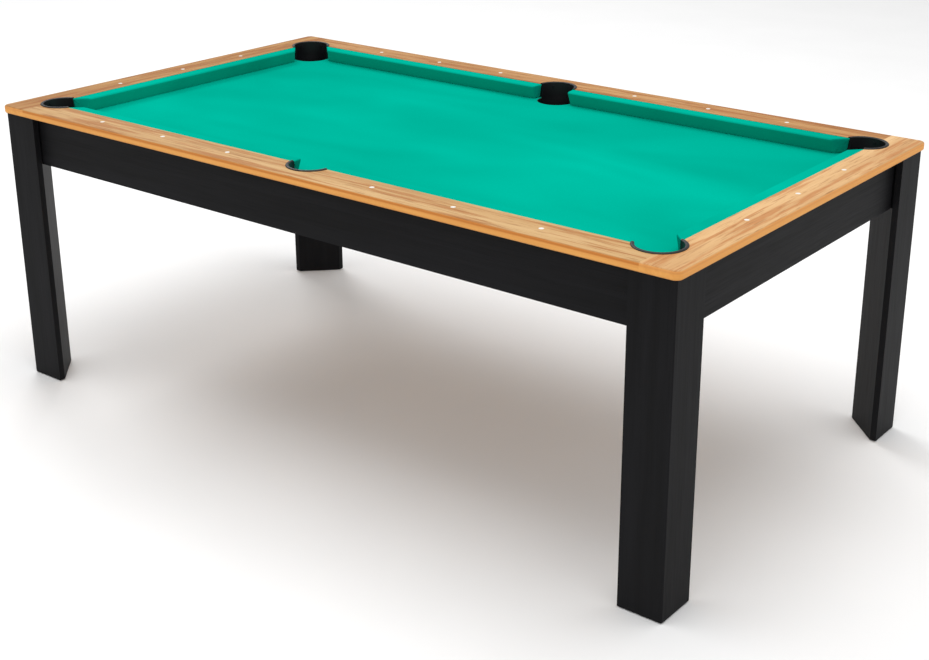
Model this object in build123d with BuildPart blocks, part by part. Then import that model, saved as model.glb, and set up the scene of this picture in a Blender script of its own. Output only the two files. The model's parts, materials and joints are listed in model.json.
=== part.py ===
from build123d import *
from math import asin, atan2, cos, degrees, radians, sin, sqrt
import os

# A seven-foot home pool table. Millimetres, +Z up, +X along the table, origin on the floor under
# the middle of the table. "front" is the long side at -Y, "right" is the short side at +X.

# Overall sizes
LENGTH = 2100.0
WIDTH = 1176.0
RAIL_TOP = 780.0
HALF_LENGTH = LENGTH / 2
HALF_WIDTH = WIDTH / 2

# Rails
RAIL_WIDTH = 90.0
RAIL_THICKNESS = 21.0
RAIL_BOTTOM = RAIL_TOP - RAIL_THICKNESS
RAIL_CORNER_RADIUS = 18.0
RAIL_EDGE_ROUNDING = 5.0

# Playing surface: the nose is the cushion's foremost line, set by a standard 57.2 mm ball
NOSE_INSET = 124.5
BED_TOP = 741.0
CLOTH = 1.0
BED_THICKNESS = 18.0
BED_CORNER_SPARE = 30.0
BOARD_TOP = BED_TOP - CLOTH
BOARD_BOTTOM = BOARD_TOP - BED_THICKNESS
NOSE_HEIGHT = BED_TOP + 36.0
CUSHION_FOOT_INSET = 114.0
NOSE_RADIUS = 2.6
NOSE_LENGTH = 3.4
NOSE_FALL = 0.6
CUSHION_CLEARANCE = 0.3

# Pockets
CORNER_POCKET_INSET = 113.0
SIDE_POCKET_INSET = 95.5
POCKET_BORE = 50.5
POCKET_WALL = 2.0
POCKET_OUTER = POCKET_BORE + POCKET_WALL
POCKET_HOLE = POCKET_OUTER + 0.5
POCKET_RIM = 58.5
RIM_RISE = 3.0
RIM_SIDE_RISE = 1.2
POCKET_DEPTH = 96.0
POCKET_FLOOR = BED_TOP - POCKET_DEPTH
POCKET_TAPER = 4.0
CUP_ROUNDING = 10.0
WING_THICKNESS = 2.5
CORNER_SCREW_TURN = 40.0
SIDE_SCREW_TURN = 45.0

# Cushion ends, measured at the top from where the rail or nose lines would cross at a corner.
# They slope back towards the bed, so that the top overhangs.
CORNER_NOSE_GAP = 70.0
CORNER_WOOD_GAP = 70.0
SIDE_NOSE_GAP = 58.0
SIDE_WOOD_GAP = 53.0
END_UNDERCUT = 8.0
END_MARGIN = 15.0
END_SPARE = 5.0

# Sights: eighteen, one eighth of the playing length apart
SIGHT_RADIUS = 5.75
SIGHT_DEPTH = 2.0
SIGHT_PROUD = 0.2
SIGHT_SPACING = (LENGTH - 2 * NOSE_INSET) / 8
LONG_SIGHT_INSET = 50.0
SHORT_SIGHT_INSET = 52.0

# Frame under the rails
APRON_INSET = 30.0
APRON_THICKNESS = 12.0
APRON_INNER = APRON_INSET + APRON_THICKNESS
APRON_BOTTOM = RAIL_TOP - 151.0
SUB_RAIL_GAP = 1.0
SUB_RAIL_START = 60.0
SUB_RAIL_END_GAP = CORNER_WOOD_GAP + 2.0
LEDGER_WIDTH = 20.0
LEDGER_HEIGHT = 30.0
LEDGER_BOTTOM = BOARD_BOTTOM - LEDGER_HEIGHT
LONG_LEDGER = 810.0
LONG_LEDGER_MIDDLE = 475.0
SHORT_LEDGER = 800.0
BEAM_WIDTH = 18.0
BEAM_HEIGHT = 70.0
BEAM_PLACES = (-690.0, -280.0, 280.0, 690.0)

# Legs: outer faces close to the rail edge, cut off by a diagonal on the inside
LEG_INSET = 8.0
LEG_WIDTH = 110.0
LEG_BOARD = 16.0
LEG_PANEL = 12.0
LEG_BOTTOM = 2.0
LEG_ROUNDING = 3.0
LEG_FOOT_CHAMFER = 1.0
LEG_FAR = LEG_INSET + LEG_WIDTH
LEG_NEAR = LEG_INSET + LEG_BOARD
LEG_DIAGONAL = LEG_FAR + LEG_NEAR
PANEL_DIAGONAL = LEG_DIAGONAL - LEG_PANEL * sqrt(2)
BLOCK_SIDE = PANEL_DIAGONAL - 2 * LEG_NEAR

# Levelling feet
FOOT_BLOCK_HEIGHT = 42.0
PAD_RADIUS = 18.0
PAD_THICKNESS = 8.0
PAD_CLEARANCE = 0.4
PAD_CHAMFER = 1.2
PAD_RECESS_RADIUS = PAD_RADIUS + 1.5
STEM_RADIUS = 4.0
STEM_HOLE_RADIUS = 5.0
STEM_TOP = 62.0
STEM_CHAMFER = 0.8
STEM_HEXAGON = 2.3
STEM_HEXAGON_DEPTH = 5.0
COLLAR_RADIUS = 6.0
COLLAR_BOTTOM = 3.3
COLLAR_HEIGHT = 3.0
COLLAR_CLEARANCE = 0.3
LEVELLER_INSET = LEG_NEAR + BLOCK_SIDE * (1 - 1 / sqrt(2))

# Fasteners
INSERT_RADIUS = 6.0
INSERT_LENGTH = 14.0
THREAD_CLEARANCE = 0.05
RAIL_BOLT_RADIUS = 4.0
RAIL_BOLT_HEAD = 6.5
RAIL_BOLT_HEAD_HEIGHT = 5.0
RAIL_BOLT_TIP_SPARE = 1.0
BOLT_HOLE_RADIUS = 4.3
RAIL_BOLT_INSET = 52.0
LONG_BOLT_PLACES = (-810.0, -470.0, -130.0, 130.0, 470.0, 810.0)
SHORT_BOLT_PLACES = (-330.0, -110.0, 110.0, 330.0)
BRACKET_STEEL = 3.0
BRACKET_BOTTOM = 636.0
BRACKET_HEIGHT = 80.0
BRACKET_APRON_FLANGE = 32.0
BRACKET_LEG_FLANGE = 18.0
APRON_BOLT_REACH = 19.2
APRON_BOLT_DEPTH = 10.0
LEG_BOLT_REACH = 11.2
LEG_BOLT_DEPTH = 28.0
BRACKET_BOLT_RADIUS = 3.0
BRACKET_BOLT_HEAD = 5.0
BRACKET_BOLT_HEAD_HEIGHT = 4.0
BRACKET_BOLT_HEIGHTS = (654.0, 698.0)
SCREW_RADIUS = 1.75
SCREW_HEAD_RADIUS = 3.5
SCREW_HEAD_HEIGHT = 1.6
SCREW_LENGTH = 16.0
SCREW_Z = 769.0
SCREW_SINK = 0.4

SIDES = {"front": -1, "back": 1}
ENDS = {"left": -1, "right": 1}
parts = []


def keep(piece, name):
    """Names a finished piece and puts it on the list that is written out."""
    piece.label = name
    parts.append(piece)
    return piece


def corner(sx, sy, a, b):
    """The plan point that lies a in from the short edge and b in from the long edge."""
    return (sx * (HALF_LENGTH - a), sy * (HALF_WIDTH - b))


def corner_outline(sx, sy, points, swap=False):
    """Plan points for one corner; swap turns a long-side shape into the short side's."""
    return [corner(sx, sy, b, a) if swap else corner(sx, sy, a, b) for a, b in points]


def pockets():
    """Name, plan centre, outward angle, half the rim's sweep and screw turn of each pocket."""
    inset = CORNER_POCKET_INSET
    turns = (CORNER_SCREW_TURN, SIDE_SCREW_TURN)
    corner_sweep = 135 - degrees(asin((inset - RAIL_WIDTH) / POCKET_RIM))
    side_sweep = 90 - degrees(asin((SIDE_POCKET_INSET - RAIL_WIDTH) / POCKET_RIM))
    found = []
    for side, sy in SIDES.items():
        for end, sx in ENDS.items():
            outward = degrees(atan2(sy, sx))
            center = corner(sx, sy, inset, inset)
            found.append((f"pocket_{side}_{end}", center, outward, corner_sweep, turns[0]))
        center = (0, sy * (HALF_WIDTH - SIDE_POCKET_INSET))
        found.append((f"pocket_{side}_middle", center, 90 * sy, side_sweep, turns[1]))
    return found


def pocket_centers():
    """Plan centres of all six pockets."""
    return [pocket_data[1] for pocket_data in pockets()]


def screw_planes(center, outward, turn):
    """Planes on a pocket's inner wall, facing out into the rail, for its two screws."""
    planes = []
    for angle in (outward - turn, outward + turn):
        out = Vector(cos(radians(angle)), sin(radians(angle)), 0)
        start = Vector(*center, SCREW_Z) + out * (POCKET_BORE - SCREW_SINK)
        planes.append(Plane(origin=start, z_dir=out))
    return planes


def all_screw_planes():
    """The planes of every pocket screw."""
    planes = []
    for name, center, outward, half_sweep, turn in pockets():
        planes += screw_planes(center, outward, turn)
    return planes


def long_sights(sy):
    """Sight centres on a long rail: three each side of the middle pocket."""
    y = sy * (HALF_WIDTH - LONG_SIGHT_INSET)
    return [(i * SIGHT_SPACING, y) for i in (-3, -2, -1, 1, 2, 3)]


def short_sights(sx):
    """Sight centres on a short rail."""
    x = sx * (HALF_LENGTH - SHORT_SIGHT_INSET)
    return [(x, i * SIGHT_SPACING) for i in (-1, 0, 1)]


def long_bolts(sy):
    """Rail bolt centres along a long rail."""
    return [(x, sy * (HALF_WIDTH - RAIL_BOLT_INSET)) for x in LONG_BOLT_PLACES]


def short_bolts(sx):
    """Rail bolt centres along a short rail."""
    return [(sx * (HALF_LENGTH - RAIL_BOLT_INSET), y) for y in SHORT_BOLT_PLACES]


def all_bolts():
    """Every rail bolt centre."""
    places = []
    for sign in (-1, 1):
        places += long_bolts(sign) + short_bolts(sign)
    return places


def cut_column(points, radius, bottom, height):
    """Cuts round holes through the open part at plan points, over a stretch of height."""
    with BuildSketch(Plane.XY.offset(bottom)) as holes:
        with Locations(*points):
            Circle(radius)
    extrude(holes.sketch, amount=height, mode=Mode.SUBTRACT)


def prism(points, bottom, height):
    """Adds an upright prism on a plan outline to the open part."""
    with BuildSketch(Plane.XY.offset(bottom)) as outline:
        with BuildLine():
            Polyline(*points, close=True)
        make_face()
    extrude(outline.sketch, amount=height)


def drill(spot, radius, depth):
    """Cuts one round hole into the open part from a plane; a negative depth goes backwards."""
    with BuildSketch(spot) as hole:
        Circle(radius)
    extrude(hole.sketch, amount=depth, mode=Mode.SUBTRACT)


# Rails -----------------------------------------------------------------------------------------


def cut_rail(sights, bolts):
    """Pocket holes, sight recesses and insert holes, alike in every rail."""
    cut_column(pocket_centers(), POCKET_HOLE, RAIL_BOTTOM, RAIL_THICKNESS)
    for spot in all_screw_planes():
        drill(spot, SCREW_RADIUS, SCREW_LENGTH)
    cut_column(sights, SIGHT_RADIUS, RAIL_TOP + SIGHT_PROUD - SIGHT_DEPTH, SIGHT_DEPTH)
    cut_column(bolts, INSERT_RADIUS, RAIL_BOTTOM, INSERT_LENGTH)


def long_rail(sy):
    seam = HALF_LENGTH - RAIL_WIDTH
    with BuildPart() as rail:
        with BuildSketch(Plane.XY.offset(RAIL_BOTTOM)):
            with Locations((0, sy * (HALF_WIDTH - RAIL_WIDTH / 2))):
                Rectangle(2 * seam, RAIL_WIDTH)
        extrude(amount=RAIL_THICKNESS)
        outer = rail.faces().sort_by(Axis.Y)[-1 if sy > 0 else 0]
        fillet(outer.edges().filter_by(Axis.X), RAIL_EDGE_ROUNDING)
        cut_rail(long_sights(sy), long_bolts(sy))
    return rail.part


def short_rail(sx):
    with BuildPart() as rail:
        with BuildSketch(Plane.XY.offset(RAIL_BOTTOM)) as outline:
            with Locations((sx * (HALF_LENGTH - RAIL_WIDTH / 2), 0)):
                Rectangle(RAIL_WIDTH, WIDTH)
            outer_corners = outline.vertices().group_by(Axis.X)[-1 if sx > 0 else 0]
            fillet(outer_corners, RAIL_CORNER_RADIUS)
        extrude(amount=RAIL_THICKNESS)
        for face in (rail.faces().sort_by(Axis.Z)[-1], rail.faces().sort_by(Axis.Z)[0]):
            edges = face.edges().sort_by(Axis.X)
            fillet(edges[1:] if sx > 0 else edges[:-1], RAIL_EDGE_ROUNDING)
        cut_rail(short_sights(sx), short_bolts(sx))
    return rail.part


for side, sy in SIDES.items():
    keep(long_rail(sy), f"rail_{side}")
for end, sx in ENDS.items():
    keep(short_rail(sx), f"rail_{end}")

with BuildPart() as sights:
    sight_places = [point for sign in (-1, 1) for point in long_sights(sign) + short_sights(sign)]
    with BuildSketch(Plane.XY.offset(RAIL_TOP + SIGHT_PROUD - SIGHT_DEPTH)):
        with Locations(*sight_places):
            Circle(SIGHT_RADIUS)
    extrude(amount=SIGHT_DEPTH)
keep(sights.part, "rail_sights")


# Sub-rails and cushions ------------------------------------------------------------------------


def sub_rail(points, bolts):
    """The strip between bed and rail, cut back round the pockets and drilled for the bolts."""
    with BuildPart() as strip:
        prism(points, BED_TOP, RAIL_BOTTOM - BED_TOP)
        cut_column(bolts, BOLT_HOLE_RADIUS, BED_TOP, RAIL_BOTTOM - BED_TOP)
    return strip.part


def cushion_section(skin):
    """Cushion profile as (distance in from the rail's edge, height), taken in by a skin."""
    top = RAIL_TOP - CUSHION_CLEARANCE - skin
    bottom = BED_TOP + CUSHION_CLEARANCE + skin
    return (
        (RAIL_WIDTH, bottom),
        (RAIL_WIDTH, top),
        (NOSE_INSET - NOSE_LENGTH - skin, top - NOSE_FALL),
        (NOSE_INSET - skin, NOSE_HEIGHT - NOSE_FALL),
        (CUSHION_FOOT_INSET - skin, bottom),
    )


def run_on(wood, nose):
    """A cushion's end line, run on past the rail's face and past the nose."""
    past = (Vector(*nose) - Vector(*wood)).normalized() * END_MARGIN
    return Vector(*wood) - past, Vector(*nose) + past


def cushion_body(plane, outward, length, ends, skin):
    """The cushion's section run along its rail, then cut along the sloping lines of its ends."""
    first_wood, first_nose = run_on(*ends[0])
    last_wood, last_nose = run_on(*ends[1])
    with BuildPart() as body:
        with BuildSketch(plane) as section:
            with BuildLine():
                Polyline(*[(outward(inset), z) for inset, z in cushion_section(skin)], close=True)
            make_face()
            nose = section.vertices().sort_by(Axis.Y)[2:4]
            fillet(nose, NOSE_RADIUS - skin)
        extrude(amount=length)
        with BuildSketch(Plane.XY.offset(RAIL_TOP)) as outline:
            with BuildLine():
                Polyline(first_wood, first_nose, last_nose, last_wood, close=True)
            make_face()
        extrude(outline.sketch, amount=BED_TOP - RAIL_TOP, taper=END_UNDERCUT, mode=Mode.INTERSECT)
    return body.part


def long_cushion(sx, sy, skin):
    """One of the four cushions between a side pocket and a corner pocket."""
    start = SIDE_WOOD_GAP - END_SPARE
    wood_y = sy * (HALF_WIDTH - RAIL_WIDTH)
    nose_y = sy * (HALF_WIDTH - NOSE_INSET + skin)
    nose_end = HALF_LENGTH - NOSE_INSET - CORNER_NOSE_GAP - skin
    wood_end = HALF_LENGTH - RAIL_WIDTH - CORNER_WOOD_GAP - skin
    ends = (
        ((sx * (SIDE_WOOD_GAP + skin), wood_y), (sx * (SIDE_NOSE_GAP + skin), nose_y)),
        ((sx * wood_end, wood_y), (sx * nose_end, nose_y)),
    )
    plane = Plane.YZ.offset(start if sx > 0 else -HALF_LENGTH)
    length = HALF_LENGTH - start
    return cushion_body(plane, lambda inset: sy * (HALF_WIDTH - inset), length, ends, skin)


def short_cushion(sx, skin):
    """The cushion across one end."""
    wood_x = sx * (HALF_LENGTH - RAIL_WIDTH)
    nose_x = sx * (HALF_LENGTH - NOSE_INSET + skin)
    nose_end = HALF_WIDTH - NOSE_INSET - CORNER_NOSE_GAP - skin
    wood_end = HALF_WIDTH - RAIL_WIDTH - CORNER_WOOD_GAP - skin
    ends = [((wood_x, sy * wood_end), (nose_x, sy * nose_end)) for sy in (-1, 1)]
    plane = Plane.XZ.offset(-HALF_WIDTH)
    return cushion_body(plane, lambda inset: sx * (HALF_LENGTH - inset), WIDTH, ends, skin)


def cloth_wrap(outer, rubber):
    """The cloth round a cushion: everything between the outer form and the rubber."""
    with BuildPart() as wrap:
        add(outer)
        add(rubber, mode=Mode.SUBTRACT)
    return wrap.part


sub_rail_back = APRON_INNER + SUB_RAIL_GAP
long_sub_rail_end = HALF_LENGTH - RAIL_WIDTH - SUB_RAIL_END_GAP
short_sub_rail_end = HALF_WIDTH - RAIL_WIDTH - SUB_RAIL_END_GAP
for side, sy in SIDES.items():
    for end, sx in ENDS.items():
        near_y = sy * (HALF_WIDTH - RAIL_WIDTH)
        far_y = sy * (HALF_WIDTH - sub_rail_back)
        strip_x = (sx * SUB_RAIL_START, sx * long_sub_rail_end)
        outline = [(strip_x[0], near_y), (strip_x[1], near_y), (strip_x[1], far_y), (strip_x[0], far_y)]
        keep(sub_rail(outline, long_bolts(sy)), f"sub_rail_{side}_{end}")
        rubber = keep(long_cushion(sx, sy, CLOTH), f"cushion_rubber_{side}_{end}")
        keep(cloth_wrap(long_cushion(sx, sy, 0), rubber), f"cushion_cloth_{side}_{end}")
for end, sx in ENDS.items():
    near_x = sx * (HALF_LENGTH - RAIL_WIDTH)
    far_x = sx * (HALF_LENGTH - sub_rail_back)
    strip_y = (-short_sub_rail_end, short_sub_rail_end)
    outline = [(near_x, strip_y[0]), (near_x, strip_y[1]), (far_x, strip_y[1]), (far_x, strip_y[0])]
    keep(sub_rail(outline, short_bolts(sx)), f"sub_rail_{end}_end")
    rubber = keep(short_cushion(sx, CLOTH), f"cushion_rubber_{end}_end")
    keep(cloth_wrap(short_cushion(sx, 0), rubber), f"cushion_cloth_{end}_end")


# Bed -------------------------------------------------------------------------------------------


def bed_layer(bottom, thickness):
    """A sheet inside the aprons, with its corners cut off and a notch for every pocket."""
    gap = APRON_INNER + SUB_RAIL_GAP
    corner_cut = 2 * CORNER_POCKET_INSET - 2 * gap - BED_CORNER_SPARE
    with BuildPart() as layer:
        with BuildSketch(Plane.XY.offset(bottom)) as outline:
            Rectangle(LENGTH - 2 * gap, WIDTH - 2 * gap)
            chamfer(outline.vertices(), corner_cut)
            with Locations(*pocket_centers()):
                Circle(POCKET_HOLE, mode=Mode.SUBTRACT)
            with Locations(*[(0, sy * HALF_WIDTH) for sy in SIDES.values()]):
                Rectangle(2 * POCKET_HOLE, 2 * SIDE_POCKET_INSET, mode=Mode.SUBTRACT)
            with Locations(*all_bolts()):
                Circle(BOLT_HOLE_RADIUS, mode=Mode.SUBTRACT)
        extrude(amount=thickness)
    return layer.part


keep(bed_layer(BOARD_BOTTOM, BED_THICKNESS), "bed_board")
keep(bed_layer(BOARD_TOP, CLOTH), "bed_cloth")


# Pockets ---------------------------------------------------------------------------------------


def wing_outlines(sy):
    """Plan outlines of the small plates that close a side pocket against its two cushions."""
    y = (HALF_WIDTH - RAIL_WIDTH, HALF_WIDTH - RAIL_WIDTH - WING_THICKNESS)
    x = (POCKET_BORE - CUSHION_CLEARANCE, SIDE_WOOD_GAP - CUSHION_CLEARANCE)
    square = ((x[0], y[0]), (x[1], y[0]), (x[1], y[1]), (x[0], y[1]))
    return [[(sx * px, sy * py) for px, py in square] for sx in ENDS.values()]


def pocket(center, outward, half_sweep, screw_turn, wings):
    """A drop pocket: a full cup under the bed, and above it a part-round wall with a rim."""
    start = radians(outward - half_sweep)
    section = Plane(origin=(*center, 0), x_dir=(cos(start), sin(start), 0),
                    z_dir=(sin(start), -cos(start), 0))
    axis = Axis(section.origin, (0, 0, 1))
    rim_side = RAIL_TOP + RIM_SIDE_RISE
    with BuildPart() as cup:
        with BuildSketch(section):
            with BuildLine():
                Polyline(
                    (0, POCKET_FLOOR),
                    (POCKET_BORE - POCKET_TAPER, POCKET_FLOOR),
                    (POCKET_BORE, BOARD_TOP),
                    (POCKET_OUTER, BOARD_TOP),
                    (POCKET_OUTER - POCKET_TAPER, POCKET_FLOOR - POCKET_WALL),
                    (0, POCKET_FLOOR - POCKET_WALL),
                    close=True,
                )
            make_face()
        revolve(axis=axis, revolution_arc=360)
        fillet(cup.edges().filter_by(GeomType.CIRCLE).sort_by(Axis.Z)[1], CUP_ROUNDING)
        outer_foot = cup.edges().filter_by(GeomType.CIRCLE).sort_by(Axis.Z)[0]
        fillet(outer_foot, CUP_ROUNDING + POCKET_WALL / 2)
        with BuildSketch(section):
            with BuildLine():
                Polyline(
                    (POCKET_RIM, rim_side),
                    (POCKET_RIM, RAIL_TOP),
                    (POCKET_OUTER, RAIL_TOP),
                    (POCKET_OUTER, BOARD_TOP),
                    (POCKET_BORE, BOARD_TOP),
                    (POCKET_BORE, rim_side),
                )
                crown = ((POCKET_BORE + POCKET_RIM) / 2, RAIL_TOP + RIM_RISE)
                ThreePointArc((POCKET_BORE, rim_side), crown, (POCKET_RIM, rim_side))
            make_face()
        revolve(axis=axis, revolution_arc=2 * half_sweep)
        for points in wings:
            prism(points, BED_TOP + CUSHION_CLEARANCE, RAIL_TOP - BED_TOP - CUSHION_CLEARANCE)
        for spot in screw_planes(center, outward, screw_turn):
            drill(spot, SCREW_RADIUS, POCKET_WALL * 2)
    return cup.part


for name, center, outward, half_sweep, screw_turn in pockets():
    wings = wing_outlines(1 if center[1] > 0 else -1) if name.endswith("middle") else []
    keep(pocket(center, outward, half_sweep, screw_turn, wings), name)


# Aprons ----------------------------------------------------------------------------------------


def apron(points, bolts):
    """A side board whose ends are mitred to lie against the legs' diagonal panels."""
    with BuildPart() as board:
        prism(points, APRON_BOTTOM, RAIL_BOTTOM - APRON_BOTTOM)
        for spot in bolts:
            drill(spot, BRACKET_BOLT_RADIUS, APRON_BOLT_DEPTH)
    return board.part


def bracket_bolt_planes(sx, sy, swap):
    """Planes of a bracket's apron bolts and leg bolts, each facing from the head to the tip."""
    mid_apron = (LEG_DIAGONAL - APRON_INNER + APRON_BOLT_REACH, APRON_INNER)
    slant = LEG_BOLT_REACH / sqrt(2)
    mid_leg = (LEG_DIAGONAL - APRON_INNER - slant, APRON_INNER + slant)
    to_apron = (0, -1)
    to_leg = (-1, -1)
    planes = []
    for place, heading in ((mid_apron, to_apron), (mid_leg, to_leg)):
        a, b = (place[1], place[0]) if swap else place
        da, db = (heading[1], heading[0]) if swap else heading
        x, y = corner(sx, sy, a, b)
        facing = Vector(-sx * da, -sy * db, 0)
        planes.append([Plane(origin=(x, y, z), z_dir=facing) for z in BRACKET_BOLT_HEIGHTS])
    return planes


apron_outer_end = LEG_DIAGONAL - APRON_INSET
apron_inner_end = LEG_DIAGONAL - APRON_INNER
for side, sy in SIDES.items():
    points = corner_outline(-1, sy, [(apron_inner_end, APRON_INNER), (apron_outer_end, APRON_INSET)])
    points += corner_outline(1, sy, [(apron_outer_end, APRON_INSET), (apron_inner_end, APRON_INNER)])
    bolts = [spot for sx in ENDS.values() for spot in bracket_bolt_planes(sx, sy, False)[0]]
    keep(apron(points, bolts), f"apron_{side}")
for end, sx in ENDS.items():
    points = corner_outline(sx, -1, [(APRON_INNER, apron_inner_end), (APRON_INSET, apron_outer_end)])
    points += corner_outline(sx, 1, [(APRON_INSET, apron_outer_end), (APRON_INNER, apron_inner_end)])
    bolts = [spot for sy in SIDES.values() for spot in bracket_bolt_planes(sx, sy, True)[0]]
    keep(apron(points, bolts), f"apron_{end}")


# Legs ------------------------------------------------------------------------------------------

casing_outline = (
    (LEG_FAR, LEG_INSET),
    (LEG_INSET, LEG_INSET),
    (LEG_INSET, LEG_FAR),
    (LEG_NEAR, LEG_FAR),
    (LEG_NEAR, LEG_NEAR),
    (LEG_FAR, LEG_NEAR),
)
panel_inner_end = PANEL_DIAGONAL - LEG_NEAR
panel_outline = (
    (LEG_FAR, LEG_NEAR),
    (LEG_NEAR, LEG_FAR),
    (LEG_NEAR, panel_inner_end),
    (panel_inner_end, LEG_NEAR),
)
block_outline = (
    (panel_inner_end, LEG_NEAR),
    (LEG_NEAR, panel_inner_end),
    (LEG_NEAR, LEG_NEAR),
)


def leg_bolt_planes(sx, sy):
    """Planes of the leg bolts at one corner, two from each of its two brackets."""
    return bracket_bolt_planes(sx, sy, False)[1] + bracket_bolt_planes(sx, sy, True)[1]


def drill_leg_bolts(sx, sy):
    """Cuts the leg bolts' holes from the open part."""
    for spot in leg_bolt_planes(sx, sy):
        drill(spot, BRACKET_BOLT_RADIUS, LEG_BOLT_DEPTH)


for side, sy in SIDES.items():
    for end, sx in ENDS.items():
        with BuildPart() as casing:
            prism(corner_outline(sx, sy, casing_outline), LEG_BOTTOM, RAIL_BOTTOM - LEG_BOTTOM)
            outer_corner = Vector(*corner(sx, sy, LEG_INSET, LEG_INSET), RAIL_BOTTOM / 2)
            upright = casing.edges().filter_by(Axis.Z).sort_by_distance(outer_corner)[0]
            fillet(upright, LEG_ROUNDING)
            foot = casing.faces().sort_by(Axis.Z)[0]
            chamfer(foot.edges(), LEG_FOOT_CHAMFER)
        keep(casing.part, f"leg_casing_{side}_{end}")
        with BuildPart() as panel:
            prism(corner_outline(sx, sy, panel_outline), LEG_BOTTOM, RAIL_BOTTOM - LEG_BOTTOM)
            drill_leg_bolts(sx, sy)
        keep(panel.part, f"leg_inner_panel_{side}_{end}")

with BuildPart() as top_blocks:
    for sy in SIDES.values():
        for sx in ENDS.values():
            prism(corner_outline(sx, sy, block_outline), APRON_BOTTOM, RAIL_BOTTOM - APRON_BOTTOM)
    for sy in SIDES.values():
        for sx in ENDS.values():
            drill_leg_bolts(sx, sy)
keep(top_blocks.part, "leg_top_blocks")

# Levelling feet --------------------------------------------------------------------------------

levellers = []
for sy in SIDES.values():
    for sx in ENDS.values():
        levellers.append(corner(sx, sy, LEVELLER_INSET, LEVELLER_INSET))
recess_top = PAD_THICKNESS + PAD_CLEARANCE
with BuildPart() as foot_blocks:
    for sy in SIDES.values():
        for sx in ENDS.values():
            prism(corner_outline(sx, sy, block_outline), LEG_BOTTOM, FOOT_BLOCK_HEIGHT)
    cut_column(levellers, PAD_RECESS_RADIUS, LEG_BOTTOM, recess_top - LEG_BOTTOM)
    cut_column(levellers, INSERT_RADIUS, recess_top, INSERT_LENGTH)
    cut_column(levellers, STEM_HOLE_RADIUS, LEG_BOTTOM, FOOT_BLOCK_HEIGHT)
keep(foot_blocks.part, "leg_foot_blocks")


def leveller_pad(center):
    """A round foot with a socket that holds the stem's collar and lets it turn."""
    with BuildPart() as pad:
        with Locations((*center, 0)):
            Cylinder(PAD_RADIUS, PAD_THICKNESS, align=(Align.CENTER, Align.CENTER, Align.MIN))
        chamfer(pad.edges().filter_by(GeomType.CIRCLE), PAD_CHAMFER)
        socket_bottom = COLLAR_BOTTOM - COLLAR_CLEARANCE
        socket_height = COLLAR_HEIGHT + 2 * COLLAR_CLEARANCE
        cut_column([center], COLLAR_RADIUS + COLLAR_CLEARANCE, socket_bottom, socket_height)
        cut_column([center], STEM_RADIUS + COLLAR_CLEARANCE, COLLAR_BOTTOM, PAD_THICKNESS)
    return pad.part


def leveller_stem(center):
    """An M8 stem with a collar at its foot and a hexagon at its top to turn it by."""
    with BuildPart() as stem:
        for radius, height in ((COLLAR_RADIUS, COLLAR_HEIGHT), (STEM_RADIUS, STEM_TOP - COLLAR_BOTTOM)):
            with Locations((*center, COLLAR_BOTTOM)):
                Cylinder(radius, height, align=(Align.CENTER, Align.CENTER, Align.MIN))
        chamfer(stem.edges().filter_by(GeomType.CIRCLE).sort_by(Axis.Z)[-1], STEM_CHAMFER)
        with BuildSketch(Plane.XY.offset(STEM_TOP)):
            with Locations(center):
                RegularPolygon(STEM_HEXAGON, 6)
        extrude(amount=-STEM_HEXAGON_DEPTH, mode=Mode.SUBTRACT)
    return stem.part


for side, sy in SIDES.items():
    for end, sx in ENDS.items():
        center = corner(sx, sy, LEVELLER_INSET, LEVELLER_INSET)
        keep(leveller_pad(center), f"leveller_pad_{side}_{end}")
        keep(leveller_stem(center), f"leveller_stem_{side}_{end}")

# Bed supports ----------------------------------------------------------------------------------

with BuildPart() as ledgers:
    for sy in SIDES.values():
        for sx in ENDS.values():
            with BuildSketch(Plane.XY.offset(LEDGER_BOTTOM)):
                y = sy * (HALF_WIDTH - APRON_INNER - LEDGER_WIDTH / 2)
                with Locations((sx * LONG_LEDGER_MIDDLE, y)):
                    Rectangle(LONG_LEDGER, LEDGER_WIDTH)
            extrude(amount=LEDGER_HEIGHT)
    for sx in ENDS.values():
        with BuildSketch(Plane.XY.offset(LEDGER_BOTTOM)):
            with Locations((sx * (HALF_LENGTH - APRON_INNER - LEDGER_WIDTH / 2), 0)):
                Rectangle(LEDGER_WIDTH, SHORT_LEDGER)
        extrude(amount=LEDGER_HEIGHT)
    cut_column(all_bolts(), BOLT_HOLE_RADIUS, LEDGER_BOTTOM, LEDGER_HEIGHT)
keep(ledgers.part, "bed_ledgers")

with BuildPart() as beams:
    span = WIDTH - 2 * APRON_INNER
    for x in BEAM_PLACES:
        with BuildSketch(Plane.YZ.offset(x - BEAM_WIDTH / 2)):
            with Locations((0, BOARD_BOTTOM - BEAM_HEIGHT / 2)):
                Rectangle(span, BEAM_HEIGHT)
            with Locations(*[(sy * span / 2, BOARD_BOTTOM) for sy in SIDES.values()]):
                Rectangle(2 * LEDGER_WIDTH, 2 * LEDGER_HEIGHT, mode=Mode.SUBTRACT)
        extrude(amount=BEAM_WIDTH)
keep(beams.part, "cross_beams")

# Brackets and fasteners ------------------------------------------------------------------------

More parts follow.
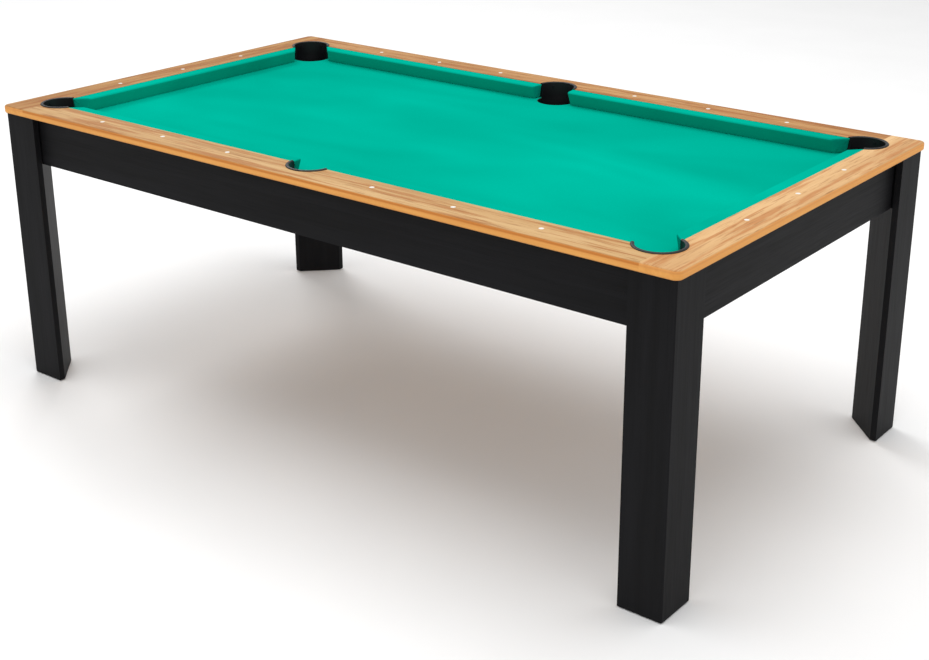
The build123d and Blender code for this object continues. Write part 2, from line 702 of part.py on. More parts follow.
bend = (LEG_DIAGONAL - APRON_INNER, APRON_INNER)
leg_run = BRACKET_LEG_FLANGE / sqrt(2)
steel = BRACKET_STEEL
bracket_outline = (
    (bend[0] + BRACKET_APRON_FLANGE, bend[1]),
    bend,
    (bend[0] - leg_run, bend[1] + leg_run),
    (bend[0] - leg_run + steel / sqrt(2), bend[1] + leg_run + steel / sqrt(2)),
    (LEG_DIAGONAL + steel * sqrt(2) - bend[1] - steel, bend[1] + steel),
    (bend[0] + BRACKET_APRON_FLANGE, bend[1] + steel),
)
corners = [(sx, sy, swap) for sy in SIDES.values() for sx in ENDS.values() for swap in (False, True)]
bracket_spots = [spots for place in corners for spots in bracket_bolt_planes(*place)]
with BuildPart() as brackets:
    for sx, sy, swap in corners:
        prism(corner_outline(sx, sy, bracket_outline, swap), BRACKET_BOTTOM, BRACKET_HEIGHT)
    for spots in bracket_spots:
        for spot in spots:
            drill(spot, BRACKET_BOLT_RADIUS, -2 * BRACKET_STEEL)
keep(brackets.part, "corner_brackets")


def bolt(spot, reach, radius, head, head_height, washer):
    """Adds one hexagon bolt to the open part; the plane lies on the wood under the washer stack."""
    seat = Plane(origin=spot.origin - spot.z_dir * washer, x_dir=spot.x_dir, z_dir=spot.z_dir)
    with BuildSketch(seat) as hexagon:
        RegularPolygon(head, 6, major_radius=False)
    extrude(hexagon.sketch, amount=-head_height)
    with BuildSketch(seat) as shank:
        Circle(radius)
    extrude(shank.sketch, amount=reach + washer)


with BuildPart() as bracket_bolts:
    for place in corners:
        apron_spots, leg_spots = bracket_bolt_planes(*place)
        for spot in apron_spots:
            bolt(spot, APRON_BOLT_DEPTH, BRACKET_BOLT_RADIUS, BRACKET_BOLT_HEAD,
                 BRACKET_BOLT_HEAD_HEIGHT, BRACKET_STEEL)
        for spot in leg_spots:
            bolt(spot, LEG_BOLT_DEPTH, BRACKET_BOLT_RADIUS, BRACKET_BOLT_HEAD,
                 BRACKET_BOLT_HEAD_HEIGHT, BRACKET_STEEL)
keep(bracket_bolts.part, "bracket_bolts")

with BuildPart() as rail_bolts:
    reach = RAIL_BOTTOM + INSERT_LENGTH - RAIL_BOLT_TIP_SPARE - LEDGER_BOTTOM
    for x, y in all_bolts():
        seat = Plane(origin=(x, y, LEDGER_BOTTOM))
        bolt(seat, reach, RAIL_BOLT_RADIUS, RAIL_BOLT_HEAD, RAIL_BOLT_HEAD_HEIGHT, 0)
keep(rail_bolts.part, "rail_bolts")

with BuildPart() as inserts:
    for places, bottom in ((all_bolts(), RAIL_BOTTOM), (levellers, recess_top)):
        with BuildSketch(Plane.XY.offset(bottom)):
            with Locations(*places):
                Circle(INSERT_RADIUS)
                Circle(STEM_RADIUS + THREAD_CLEARANCE, mode=Mode.SUBTRACT)
        extrude(amount=INSERT_LENGTH)
keep(inserts.part, "threaded_inserts")

with BuildPart() as pocket_screws:
    for spot in all_screw_planes():
        with BuildSketch(spot):
            Circle(SCREW_RADIUS)
        extrude(amount=SCREW_LENGTH)
        with BuildSketch(spot):
            Circle(SCREW_HEAD_RADIUS)
        extrude(amount=-SCREW_HEAD_HEIGHT)
keep(pocket_screws.part, "pocket_screws")

os.makedirs("parts", exist_ok=True)
for piece in parts:
    export_step(piece, f"parts/{piece.label}.step")
print(len(parts), "parts written")
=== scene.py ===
import json
from math import atan2, cos, pi, radians, sin, sqrt, tan

import bmesh
import bpy
from mathutils import Matrix, Vector, noise


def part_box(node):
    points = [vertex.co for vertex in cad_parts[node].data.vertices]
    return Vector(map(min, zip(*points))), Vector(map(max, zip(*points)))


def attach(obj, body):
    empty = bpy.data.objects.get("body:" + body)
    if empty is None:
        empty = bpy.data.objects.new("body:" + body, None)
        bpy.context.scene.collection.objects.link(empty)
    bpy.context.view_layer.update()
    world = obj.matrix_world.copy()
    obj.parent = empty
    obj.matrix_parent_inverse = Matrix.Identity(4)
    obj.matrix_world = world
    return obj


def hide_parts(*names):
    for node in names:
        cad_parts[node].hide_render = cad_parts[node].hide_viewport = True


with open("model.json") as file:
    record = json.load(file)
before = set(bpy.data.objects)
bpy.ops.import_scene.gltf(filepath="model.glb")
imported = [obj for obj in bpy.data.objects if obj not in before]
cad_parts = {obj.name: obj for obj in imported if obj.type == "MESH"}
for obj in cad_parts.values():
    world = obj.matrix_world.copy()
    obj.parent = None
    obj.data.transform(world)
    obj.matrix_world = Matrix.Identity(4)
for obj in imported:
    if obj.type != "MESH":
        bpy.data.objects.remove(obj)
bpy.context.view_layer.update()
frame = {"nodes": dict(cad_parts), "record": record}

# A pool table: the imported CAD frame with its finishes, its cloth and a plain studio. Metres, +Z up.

nodes = frame["nodes"]

# Camera
CAMERA_PLACE = (2.3853, -2.8963, 1.7617)
CAMERA_YAW = radians(37.402)
CAMERA_PITCH = radians(69.814)
CAMERA_ROLL = radians(0.142)
CAMERA_LENS = 58.24
CAMERA_SHIFT = (-0.0356, -0.0674)

# Where the rails and legs begin and end, for finishes that differ from face to face, for the light and shade
# painted by height on the rails' edge bands and for the shade painted on the rails' pocket cuts
RAIL_OUTSIDE = (1.030, 0.568)
RAIL_SPAN = (0.759, 0.780)
LEG_INSIDE = (0.9325, 0.4705)

# The cushion's section: a sole on the bed, a face that leans out to the nose, and a top by the wood
WALL_GAP = 0.0003
SOLE_DEPTH = 0.024
NOSE_FALL = 0.0006
NOSE_LENGTH = 0.0034
NOSE_RADIUS = 0.0026
HEEL_RADIUS = 0.0004
TOE_RADIUS = 0.0008
WOOD_EDGE_RADIUS = 0.0012

# The cushion cloth: how far the nose stops short of the wood at each kind of pocket, and how it is meshed
CLOTH_THICKNESS = 0.0008
CORNER_CUT = 0.0345
SIDE_CUT = 0.005
END_UNDERCUT = radians(8)
END_ROUNDING = 0.0018
END_RINGS = (0.0, 0.3, 0.6, 0.85)
END_MIDDLE = (0.48, 0.5)
ROUNDING_STEPS = 4
SECTION_SPACING = 0.0045
RING_SPACING = 0.012
RING_GROWTH = 1.3
MIDDLE_GAP = 0.06
MERGE_DISTANCE = 0.00001

# Slight waves along the cushion cloth, which fade out at its ends
WAVE_HEIGHT = 0.00012
WAVE_ALONG = 9
WAVE_ACROSS = 20
WAVE_FADE = 0.02

# Cloth on the bed
POCKET_HOLE = 0.053
CORNER_CHAMFER = 0.110
HOLE_STEPS = 40
BED_ARRIS = 0.0006
LEVEL_TOLERANCE = 0.000001

# Studio
FLOOR_HALF = 30.0
SURROUND = 0.70
LAMP_TARGET = (0.0, 0.0, 0.7)
LAMPS = {
    "overhead": ((0.6, -0.3, 4.4), 4.0, 3.0, 112.0),
    "key_left": ((-5.5, 3.0, 6.5), 3.0, 3.0, 190.0),
}


# Finishes ----------------------------------------------------------------------------------------


def srgb(red, green, blue):
    """A linear RGBA colour from screen values of 0 to 255."""
    parts = [part / 255 for part in (red, green, blue)]
    return tuple(p / 12.92 if p <= 0.04045 else ((p + 0.055) / 1.055) ** 2.4 for p in parts) + (1.0,)


class Finish:
    """A material being built: its shader, and short calls for the nodes that feed it."""

    def __init__(self, name, **values):
        self.material = bpy.data.materials.new(name)
        self.material.use_nodes = True
        self.tree = self.material.node_tree
        self.shader = self.tree.nodes["Principled BSDF"]
        for socket, value in values.items():
            self.shader.inputs[socket.replace("_", " ")].default_value = value

    def node(self, kind, inputs, **settings):
        """Adds a node; an input is linked if it is given a socket, and set if not."""
        made = self.tree.nodes.new("ShaderNode" + kind)
        for key, value in settings.items():
            setattr(made, key, value)
        for key, value in inputs.items():
            if isinstance(value, bpy.types.NodeSocket):
                self.tree.links.new(value, made.inputs[key])
            else:
                made.inputs[key].default_value = value
        return made

    def place(self, stretch, shift=(0.0, 0.0, 0.0)):
        """Object coordinates, scaled along each axis and shifted."""
        spot = self.node("TexCoord", {}).outputs["Object"]
        return self.node("Mapping", {"Vector": spot, "Scale": stretch, "Location": shift}).outputs[0]

    def noise(self, vector, scale=1.0, detail=2.0, roughness=0.5, distortion=0.0):
        inputs = {"Vector": vector, "Scale": scale, "Detail": detail, "Roughness": roughness,
                  "Distortion": distortion}
        return self.node("TexNoise", inputs).outputs[0]

    def ramp(self, factor, *stops):
        """A colour ramp through (position, colour) stops."""
        made = self.node("ValToRGB", {"Fac": factor})
        band = made.color_ramp
        for place, (position, color) in zip((0, 1), (stops[0], stops[-1])):
            band.elements[place].position = position
            band.elements[place].color = color
        for position, color in stops[1:-1]:
            band.elements.new(position).color = color
        return made.outputs["Color"]

    def span(self, factor, low, high, bottom=0.0, top=1.0):
        """Maps low..high onto bottom..top and clamps."""
        inputs = {"Value": factor, "From Min": low, "From Max": high, "To Min": bottom, "To Max": top}
        return self.node("MapRange", inputs).outputs["Result"]

    def mix(self, factor, first, second, blend="MIX"):
        made = self.node("Mix", {}, data_type="RGBA", blend_type=blend)
        for socket, value in ((0, factor), (6, first), (7, second)):
            if isinstance(value, bpy.types.NodeSocket):
                self.tree.links.new(value, made.inputs[socket])
            else:
                made.inputs[socket].default_value = value
        return made.outputs[2]

    def math(self, operation, first, second=0.0):
        return self.node("Math", {0: first, 1: second}, operation=operation).outputs[0]

    def parts(self, kind):
        """The X, Y and Z parts of a kind of texture coordinate."""
        return self.node("SeparateXYZ", {0: self.node("TexCoord", {}).outputs[kind]}).outputs

    def far_out(self, half_x, half_y):
        """1 where a point lies further out than a centred rectangle, 0 inside it."""
        spot = self.parts("Object")
        beyond_x = self.math("GREATER_THAN", self.math("ABSOLUTE", spot["X"]), half_x)
        beyond_y = self.math("GREATER_THAN", self.math("ABSOLUTE", spot["Y"]), half_y)
        return self.math("MAXIMUM", beyond_x, beyond_y)

    def height(self, low, high):
        """How high a point lies between two levels, from 0 to 1."""
        return self.span(self.parts("Object")["Z"], low, high)

    def upright(self):
        """1 on upright faces, 0 on level ones."""
        return self.span(self.math("ABSOLUTE", self.parts("Normal")["Z"]), 0.45, 0.85, 1.0, 0.0)

    def connect(self, socket, value):
        self.tree.links.new(value, self.shader.inputs[socket])

    def bump(self, height, distance, strength=1.0, under=None):
        """Feeds a height into the shader's normal, over an earlier bump if one is given."""
        inputs = {"Height": height, "Distance": distance, "Strength": strength}
        if under is not None:
            inputs["Normal"] = under
        normal = self.node("Bump", inputs).outputs["Normal"]
        self.connect("Normal", normal)
        return normal


def along(axis, length_scale, cross_scale):
    """Scales for a grain that runs along one axis."""
    return tuple(length_scale if name == axis else cross_scale for name in "XYZ")


def wood(name, axis, shift, rail_multiplier, arris_painted_shade):
    """Oak-print board: grain along one axis, multiplied by the rail's own colour; a warm edge band with
    light and shade painted by height, darker at its foot and along its rounded top edge; upright faces
    inside the rail's outline painted near-black as shade.
    """
    finish = Finish(name, Specular_IOR_Level=0.06)
    flow = finish.noise(finish.place(along(axis, 1.6, 22.0), shift), detail=3.0, distortion=0.6)
    streaks = finish.noise(finish.place(along(axis, 3.2, 62.0), shift), detail=4.0, roughness=0.62)
    flecks = finish.noise(finish.place(along(axis, 9.0, 210.0), shift), detail=3.0, roughness=0.7)
    fibres = finish.noise(finish.place(along(axis, 40.0, 1500.0), shift), detail=1.0)
    board = finish.ramp(flow, (0.30, srgb(182, 140, 94)), (0.5, srgb(202, 164, 117)),
                        (0.72, srgb(214, 180, 135)))
    board = finish.mix(finish.span(streaks, 0.49, 0.58, 0.0, 0.85), board, srgb(174, 116, 66))
    board = finish.mix(finish.span(flecks, 0.55, 0.64, 0.0, 0.6), board, srgb(140, 90, 50))
    board = finish.mix(finish.span(fibres, 0.3, 0.7, 0.0, 0.12), board, srgb(226, 194, 152))
    # Each rail's board is multiplied by a colour of its own: darker and warmer on the back and left rails,
    # slightly darker on the front, almost unchanged on the right.
    board = finish.mix(1.0, board, rail_multiplier, "MULTIPLY")
    # Painted light and shade: the edge band is coloured by height, lighter in its middle, darker at its foot
    # and along its rounded top edge, whose painted shade is set per rail and is darker on the front and back
    # rails.
    strip = finish.ramp(finish.height(*RAIL_SPAN), (0.0, srgb(222, 152, 78)), (0.3, srgb(240, 174, 96)),
                        (0.58, srgb(238, 170, 92)), (0.72, arris_painted_shade))
    strip = finish.mix(finish.span(streaks, 0.4, 0.65, 0.0, 0.3), strip, srgb(208, 132, 64))
    # Painted shade: upright faces inside the rail's outline, the cuts round the pockets, are painted
    # near-black instead of the band colour.
    sides = finish.mix(finish.far_out(*RAIL_OUTSIDE), srgb(16, 16, 18), strip)
    finish.connect("Base Color", finish.mix(finish.upright(), board, sides))
    finish.connect("Roughness", finish.span(flecks, 0.3, 0.7, 0.42, 0.52))
    finish.bump(fibres, 0.00004, 0.6, finish.bump(flecks, 0.00008, 0.5))
    return finish.material


def laminate(name, axis):
    """Black melamine board with a fine pressed grain along one axis; the legs' inner edges are darker."""
    finish = Finish(name, Specular_IOR_Level=0.06)
    bands = finish.noise(finish.place(along(axis, 2.0, 40.0)), detail=3.0)
    grain = finish.noise(finish.place(along(axis, 9.0, 420.0)), detail=3.0, roughness=0.6)
    tint = finish.ramp(bands, (0.3, srgb(22, 22, 23)), (0.7, srgb(28, 28, 30)))
    tint = finish.mix(finish.span(grain, 0.5, 0.75, 0.0, 0.4), tint, srgb(16, 16, 17))
    if axis == "Z":
        tint = finish.mix(finish.far_out(*LEG_INSIDE), srgb(3, 3, 3), tint)
    finish.connect("Base Color", tint)
    finish.connect("Roughness", finish.span(grain, 0.3, 0.7, 0.46, 0.56))
    finish.bump(grain, 0.00006, 0.5)
    return finish.material


def felt():
    """Teal wool cloth: a close weave under a brushed nap."""
    finish = Finish("cloth_green", Specular_IOR_Level=0.0, Sheen_Weight=0.03, Sheen_Roughness=0.6)
    finish.shader.inputs["Sheen Tint"].default_value = srgb(0, 190, 165)
    spot = finish.place((1.0, 1.0, 1.0))
    brushed = finish.noise(finish.place((1.6, 3.4, 3.4)), detail=2.0, distortion=0.4)
    nap = finish.noise(spot, scale=420.0, detail=4.0, roughness=0.7)
    lint = finish.noise(spot, scale=1500.0, detail=2.0)
    color = finish.ramp(brushed, (0.3, srgb(0, 150, 128)), (0.7, srgb(0, 166, 143)))
    color = finish.mix(finish.span(nap, 0.45, 0.75, 0.0, 0.25), color, srgb(0, 128, 109))
    color = finish.mix(finish.span(lint, 0.62, 0.8, 0.0, 0.2), color, srgb(6, 178, 156))
    finish.connect("Base Color", color)
    finish.connect("Roughness", finish.span(nap, 0.3, 0.7, 0.9, 1.0))
    across = finish.node("TexWave", {"Vector": spot, "Scale": 280.0}, bands_direction="X").outputs[1]
    down = finish.node("TexWave", {"Vector": spot, "Scale": 280.0}, bands_direction="Y").outputs[1]
    weave = finish.bump(finish.math("MULTIPLY", across, down), 0.00006, 0.5)
    finish.bump(nap, 0.00012, 0.6, weave)
    return finish.material


def pocket_plastic():
    """Injection-moulded black plastic with a fine satin texture."""
    finish = Finish("pocket_black", Specular_IOR_Level=0.3)
    spot = finish.place((1.0, 1.0, 1.0))
    spark = finish.noise(spot, scale=1800.0, detail=2.0)
    cloud = finish.noise(spot, scale=14.0, detail=2.0)
    finish.connect("Base Color", finish.ramp(cloud, (0.3, srgb(13, 14, 16)), (0.7, srgb(19, 20, 23))))
    finish.connect("Roughness", finish.span(cloud, 0.3, 0.7, 0.42, 0.52))
    finish.bump(spark, 0.00004, 0.5)
    return finish.material


def speckled(name, dark, light, rough, scale, depth, metallic=0.0, specular=0.5):
    """A plain material with its own colour variation, roughness variation and fine relief."""
    finish = Finish(name, Metallic=metallic, Specular_IOR_Level=specular)
    spot = finish.place((1.0, 1.0, 1.0))
    fine = finish.noise(spot, scale=scale, detail=4.0, roughness=0.65)
    broad = finish.noise(spot, scale=scale / 25, detail=2.0)
    color = finish.ramp(fine, (0.3, dark), (0.7, light))
    finish.connect("Base Color", finish.mix(finish.span(broad, 0.35, 0.65, 0.0, 0.35), color, dark))
    finish.connect("Roughness", finish.span(fine, 0.3, 0.7, rough - 0.05, rough + 0.05))
    finish.bump(fine, depth, 0.5)
    return finish.material


def softwood(name, axis, shade_black=False):
    """Plain pine batten with its grain along one axis; the sub-rails are painted near-black as shade."""
    finish = Finish(name, Specular_IOR_Level=0.3)
    rings = finish.noise(finish.place(along(axis, 1.5, 55.0)), detail=3.0, distortion=0.8)
    fibres = finish.noise(finish.place(along(axis, 18.0, 600.0)), detail=3.0)
    tones = (srgb(226, 194, 140), srgb(204, 160, 104), srgb(178, 130, 80))
    # Painted shade: near-black tones in place of the pine's colours.
    if shade_black:
        tones = (srgb(24, 23, 22), srgb(18, 17, 16), srgb(12, 11, 11))
    color = finish.ramp(rings, (0.35, tones[0]), (0.6, tones[1]))
    finish.connect("Base Color", finish.mix(finish.span(fibres, 0.5, 0.8, 0.0, 0.4), color, tones[2]))
    finish.connect("Roughness", finish.span(fibres, 0.3, 0.7, 0.65, 0.8))
    finish.bump(fibres, 0.0001, 0.6)
    return finish.material


def dress(names, material):
    """Gives CAD nodes a finish in every material slot they have."""
    for name in names:
        slots = nodes[name].material_slots
        for place in slots:
            place.material = material
        if not slots:
            nodes[name].data.materials.append(material)


def starting(prefix):
    """Names of the CAD nodes that begin with a word."""
    return [name for name in nodes if name.startswith(prefix)]


# Per rail: grain axis, grain shift, a colour the board is multiplied by, and the shade painted along the top
# edge of its band, darker on the front and back rails than on the ends.
BOARDS = {
    "rail_front": ("X", (0.0, 0.0, 0.0), srgb(232, 228, 216), srgb(202, 126, 60)),
    "rail_back": ("X", (3.1, 1.7, 0.0), srgb(218, 199, 175), srgb(202, 126, 60)),
    "rail_left": ("Y", (5.3, 2.9, 0.0), srgb(212, 193, 163), srgb(226, 158, 90)),
    "rail_right": ("Y", (8.2, 4.4, 0.0), srgb(255, 252, 247), srgb(226, 158, 90)),
}
for rail, (grain_axis, *look) in BOARDS.items():
    dress([rail], wood(f"oak_{rail}", grain_axis, *look))
laminates = {axis: laminate(f"laminate_{axis.lower()}", axis) for axis in "XYZ"}
dress(["apron_front", "apron_back"], laminates["X"])
dress(["apron_left", "apron_right"], laminates["Y"])
dress(starting("leg_casing") + starting("leg_inner_panel"), laminates["Z"])
# The sub-rails: painted near-black as shade.
dress([name for name in starting("sub_rail") if not name.endswith("end")],
      softwood("shade_black_x", "X", shade_black=True))
dress(["sub_rail_left_end", "sub_rail_right_end"], softwood("shade_black_y", "Y", shade_black=True))
dress(["bed_ledgers"], softwood("pine_x", "X"))
dress(["cross_beams"], softwood("pine_y", "Y"))
dress(["leg_top_blocks", "leg_foot_blocks"], softwood("pine_z", "Z"))
dress(starting("pocket_front") + starting("pocket_back"), pocket_plastic())
dress(["rail_sights"],
      speckled("sight_plastic", srgb(214, 210, 202), srgb(230, 227, 220), 0.25, 300.0, 0.00001))
dress(starting("cushion_rubber"),
      speckled("gum_rubber", srgb(30, 27, 24), srgb(44, 40, 36), 0.7, 260.0, 0.0001))
dress(["bed_board"],
      speckled("fibreboard", srgb(140, 108, 74), srgb(172, 138, 100), 0.8, 700.0, 0.00015))
dress(starting("leveller_pad"),
      speckled("foot_nylon", srgb(20, 20, 21), srgb(30, 30, 32), 0.5, 900.0, 0.00005))
dress(starting("leveller_stem") + ["threaded_inserts", "rail_bolts", "bracket_bolts", "corner_brackets"],
      speckled("zinc_plate", srgb(150, 154, 160), srgb(205, 208, 212), 0.35, 400.0, 0.00003, metallic=1.0))
dress(["pocket_screws"],
      speckled("black_steel", srgb(18, 18, 20), srgb(34, 34, 38), 0.45, 500.0, 0.00005, metallic=0.6))
cloth = felt()


# Cloth -------------------------------------------------------------------------------------------


def new_piece(name, mesh_maker):
    """A mesh object of its own in green cloth, made in place, that rides on the table's body."""
    mesh = bpy.data.meshes.new(name)
    work = bmesh.new()
    mesh_maker(work)
    bmesh.ops.recalc_face_normals(work, faces=work.faces)
    work.to_mesh(mesh)
    work.free()
    mesh.materials.append(cloth)
    piece = bpy.data.objects.new(name, mesh)
    bpy.context.scene.collection.objects.link(piece)
    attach(piece, "table")
    return piece


def smooth(piece, angle):
    """Smooth shading, except over edges sharper than an angle."""
    for face in piece.data.polygons:
        face.use_smooth = True
    piece.data.set_sharp_from_angle(angle=angle)


def rounded(corners, steps=5):
    """A closed outline through (x, y, radius) corners, each radius as an arc of short steps."""
    outline = []
    for here, (x, y, radius) in enumerate(corners):
        corner = Vector((x, y))
        before = (Vector(corners[here - 1][:2]) - corner).normalized()
        after = (Vector(corners[(here + 1) % len(corners)][:2]) - corner).normalized()
        half = before.angle(after) / 2
        center = corner + (before + after).normalized() * radius / sin(half)
        start = corner + before * radius / tan(half) - center
        end = corner + after * radius / tan(half) - center
        turn = start.angle_signed(end)
        for step in range(steps + 1):
            part = start.copy()
            part.rotate(Matrix.Rotation(-turn * step / steps, 2))
            outline.append(center + part)
    return outline


def cushion_outline(depth, height):
    """The cushion's section as (distance from the rail, height above its foot)."""
    corners = [
        (WALL_GAP, 0.0, HEEL_RADIUS),
        (SOLE_DEPTH, 0.0, TOE_RADIUS),
        (depth, height - NOSE_FALL - NOSE_LENGTH, NOSE_RADIUS),
        (depth - NOSE_LENGTH, height - NOSE_FALL, NOSE_RADIUS),
        (WALL_GAP, height, WOOD_EDGE_RADIUS),
    ]
    return rounded(corners)


def spread(outline, longest):
    """The same outline with its long runs divided."""
    points = []
    for here, point in enumerate(outline):
        following = outline[(here + 1) % len(outline)]
        pieces = max(1, round((following - point).length / longest))
        points += [point.lerp(following, step / pieces) for step in range(pieces)]
    return points


def shrunk(outline, amount):
    """The outline moved inwards along its own normals."""
    moved = []
    for here, point in enumerate(outline):
        run = outline[(here + 1) % len(outline)] - outline[here - 1]
        moved.append(point + Vector((-run.y, run.x)).normalized() * amount)
    return moved


def cushion_cloth(node, end_cuts):
    """Cloth wrapped round one cushion; end_cuts are how far its nose stops short at each end."""
    low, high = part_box(node)
    lengthwise = 0 if high.x - low.x > high.y - low.y else 1
    crosswise = 1 - lengthwise
    depth = high[crosswise] - low[crosswise]
    height = high.z - low.z
    inwards = -1 if low[crosswise] > 0 else 1
    wall = low[crosswise] if inwards > 0 else high[crosswise]
    start, end = low[lengthwise], high[lengthwise]
    outline = spread(cushion_outline(depth, height), SECTION_SPACING)

    def spot(section, reach, from_start):
        """A point of the section, put on the angled and undercut end or a distance in from it."""
        slope = section.x / depth
        under = (height - section.y) * tan(END_UNDERCUT)
        wave = noise.noise(Vector((reach * WAVE_ALONG, section.y * WAVE_ACROSS, start))) * WAVE_HEIGHT
        if from_start:
            run = start + end_cuts[0] * slope + under + reach
        else:
            run = end - end_cuts[1] * slope - under - reach
        place = Vector((0.0, 0.0, low.z + section.y))
        place[lengthwise] = run
        place[crosswise] = wall + inwards * (section.x + wave * min(1.0, reach / WAVE_FADE))
        return place

    def half_rings(from_start):
        """Rings of points from the middle of one end face, over its rounding and to the cushion's middle."""
        center = Vector((depth * END_MIDDLE[0], height * END_MIDDLE[1]))
        inner = shrunk(outline, END_ROUNDING)
        rings = [[(center.lerp(point, scale), 0.0) for point in inner] for scale in END_RINGS]
        for step in range(ROUNDING_STEPS + 1):
            angle = pi / 2 * (1 - step / ROUNDING_STEPS)
            ring = shrunk(outline, END_ROUNDING * sin(angle))
            rings.append([(point, END_ROUNDING * (1 - sin(angle))) for point in ring])
        middle = (end - start) / 2
        count = int(middle / RING_SPACING)
        for step in range(1, count + 1):
            part = (step / count) ** RING_GROWTH
            reach = END_ROUNDING + (middle - END_ROUNDING - MIDDLE_GAP) * part
            rings.append([(point, reach) for point in outline])
        return [[spot(point, reach, from_start) for point, reach in ring] for ring in rings]

    def make(work):
        rings = half_rings(True) + half_rings(False)[::-1]
        made = [[work.verts.new(point) for point in ring] for ring in rings]
        for first, second in zip(made, made[1:]):
            for here in range(len(outline)):
                there = (here + 1) % len(outline)
                work.faces.new((first[here], first[there], second[there], second[here]))
        bmesh.ops.remove_doubles(work, verts=work.verts, dist=MERGE_DISTANCE)

    name = node.replace("cushion_cloth", "cushion_wrap")
    piece = new_piece(name, make)
    smooth(piece, radians(50))
    skin = piece.modifiers.new("thickness", "SOLIDIFY")
    skin.thickness = CLOTH_THICKNESS
    skin.offset = -1.0
    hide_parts(node)


for side in ("front", "back"):
    cushion_cloth(f"cushion_cloth_{side}_left", (CORNER_CUT, SIDE_CUT))
    cushion_cloth(f"cushion_cloth_{side}_right", (SIDE_CUT, CORNER_CUT))
for end_name in ("left", "right"):
    cushion_cloth(f"cushion_cloth_{end_name}_end", (CORNER_CUT, CORNER_CUT))


def pocket_center(name):
    """Plan centre of a pocket, from the opening that the record states for its cup."""
    for opening in frame["record"]["physics"]["openings"]:
        if opening["name"] == f"{name}_cup":
            low, high = opening["box_m"]
            return Vector(((low[0] + high[0]) / 2, (low[1] + high[1]) / 2))
    raise ValueError(f"no opening for {name}")


def corner_notch(end_sign, side_sign, high):
    """The chamfer and round notch for a corner pocket, in the outline's order."""
    side = "back" if side_sign > 0 else "front"
    end = "right" if end_sign > 0 else "left"
    center = pocket_center(f"pocket_{side}_{end}")
    x, y = end_sign * high.x, side_sign * high.y
    cut = [Vector((x - end_sign * CORNER_CHAMFER, y)), Vector((x, y - side_sign * CORNER_CHAMFER))]
    outward = Vector((end_sign, side_sign)).normalized()
    reach = ((cut[0] + cut[1]) / 2 - center).dot(outward)
    opening = atan2(sqrt(POCKET_HOLE**2 - reach**2), reach)
    facing = atan2(outward.y, outward.x)
    arc = []
    for step in range(HOLE_STEPS + 1):
        angle = facing + opening + (2 * pi - 2 * opening) * step / HOLE_STEPS
        arc.append(center + Vector((cos(angle), sin(angle))) * POCKET_HOLE)
    first, last = cut[::-1] if end_sign * side_sign > 0 else cut
    return [first] + arc[::-1] + [last]


def side_notch(side_sign, half_width):
    """The round notch for a side pocket, in the outline's order."""
    center = pocket_center("pocket_back_middle" if side_sign > 0 else "pocket_front_middle")
    arc = []
    for step in range(HOLE_STEPS + 1):
        angle = side_sign * (-pi * step / HOLE_STEPS)
        arc.append(center + Vector((side_sign * cos(angle), sin(angle))) * POCKET_HOLE)
    first = Vector((side_sign * POCKET_HOLE, side_sign * half_width))
    last = Vector((-side_sign * POCKET_HOLE, side_sign * half_width))
    return [first] + arc + [last]


def bed_outline(high):
    """The bed cloth's edge in plan, counter-clockwise, with a notch for every pocket."""
    points = corner_notch(1, -1, high) + corner_notch(1, 1, high) + side_notch(1, high.y)
    return points + corner_notch(-1, 1, high) + corner_notch(-1, -1, high) + side_notch(-1, high.y)


def bed_sheet():
    """The playing surface's cloth, stretched over the bed, with soft arrises round the pockets."""
    low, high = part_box("bed_cloth")
    outline = bed_outline(high)

    def make(work):
        top = [work.verts.new((p.x, p.y, high.z)) for p in outline]
        face = work.faces.new(top)
        bottom = bmesh.ops.extrude_face_region(work, geom=[face])
        moved = [v for v in bottom["geom"] if isinstance(v, bmesh.types.BMVert)]
        bmesh.ops.translate(work, verts=moved, vec=(0, 0, low.z - high.z))
        edges = [e for e in work.edges if all(abs(v.co.z - high.z) < LEVEL_TOLERANCE for v in e.verts)]
        bmesh.ops.bevel(work, geom=edges, offset=BED_ARRIS, segments=3, profile=0.5, affect="EDGES")
        bmesh.ops.triangulate(work, faces=[f for f in work.faces if len(f.verts) > 4])

    piece = new_piece("bed_cover", make)
    smooth(piece, radians(35))
    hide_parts("bed_cloth")


bed_sheet()


# Studio ------------------------------------------------------------------------------------------


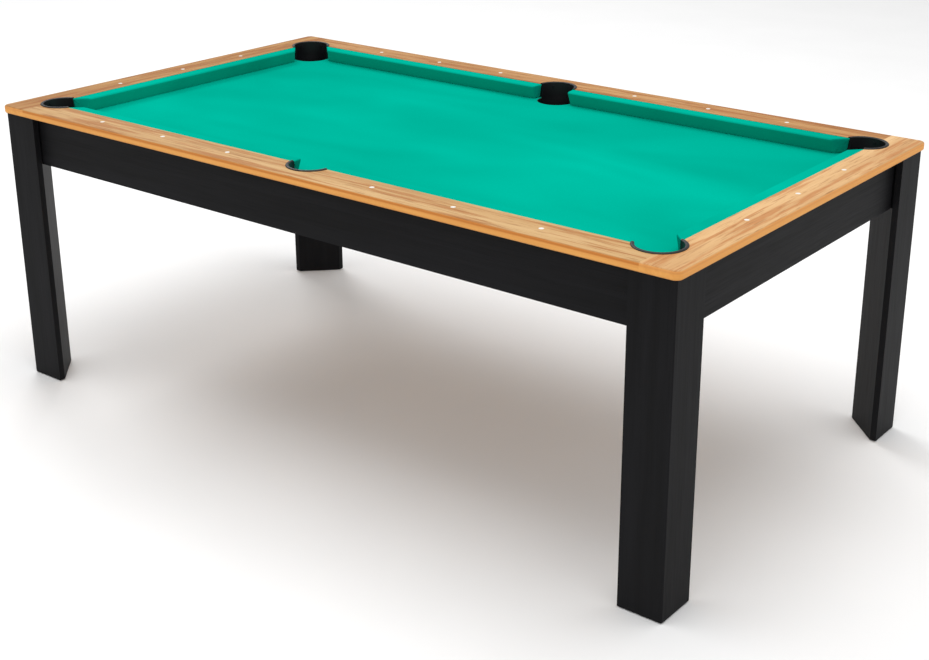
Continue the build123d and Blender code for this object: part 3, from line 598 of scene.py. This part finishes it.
def floor_plane():
    """A wide pale floor."""
    mesh = bpy.data.meshes.new("floor")
    work = bmesh.new()
    bmesh.ops.create_grid(work, x_segments=8, y_segments=8, size=FLOOR_HALF)
    work.to_mesh(mesh)
    work.free()
    finish = Finish("floor_paper", Roughness=0.95, Specular_IOR_Level=0.05)
    cloud = finish.noise(finish.place((1.0, 1.0, 1.0)), scale=3.0, detail=3.0)
    finish.connect("Base Color", finish.ramp(cloud, (0.3, srgb(250, 250, 250)), (0.7, srgb(252, 252, 252))))
    mesh.materials.append(finish.material)
    floor = bpy.data.objects.new("floor", mesh)
    bpy.context.scene.collection.objects.link(floor)


def softbox(name, place, width, height, watts):
    """A rectangular studio light aimed at the table."""
    light = bpy.data.lights.new(name, "AREA")
    light.shape = "RECTANGLE"
    light.size = width
    light.size_y = height
    light.energy = watts
    lamp = bpy.data.objects.new(name, light)
    lamp.location = place
    lamp.rotation_euler = (Vector(LAMP_TARGET) - Vector(place)).to_track_quat("-Z", "Y").to_euler()
    bpy.context.scene.collection.objects.link(lamp)


def surround():
    """A plain white world."""
    world = bpy.data.worlds.new("surround")
    world.use_nodes = True
    background = world.node_tree.nodes["Background"]
    background.inputs["Color"].default_value = (1.0, 1.0, 1.0, 1.0)
    background.inputs["Strength"].default_value = SURROUND
    bpy.context.scene.world = world
    bpy.context.scene.view_settings.view_transform = "Standard"


def camera():
    """The camera, in front of the table's right-hand end."""
    lens = bpy.data.cameras.new("camera")
    lens.lens = CAMERA_LENS
    lens.shift_x, lens.shift_y = CAMERA_SHIFT
    viewer = bpy.data.objects.new("camera", lens)
    turn = (Matrix.Rotation(CAMERA_YAW, 4, "Z") @ Matrix.Rotation(CAMERA_PITCH, 4, "X")
            @ Matrix.Rotation(CAMERA_ROLL, 4, "Z"))
    viewer.matrix_world = Matrix.Translation(CAMERA_PLACE) @ turn
    bpy.context.scene.collection.objects.link(viewer)
    bpy.context.scene.camera = viewer


floor_plane()
for lamp_name, lamp_setting in LAMPS.items():
    softbox(lamp_name, *lamp_setting)
surround()
camera()
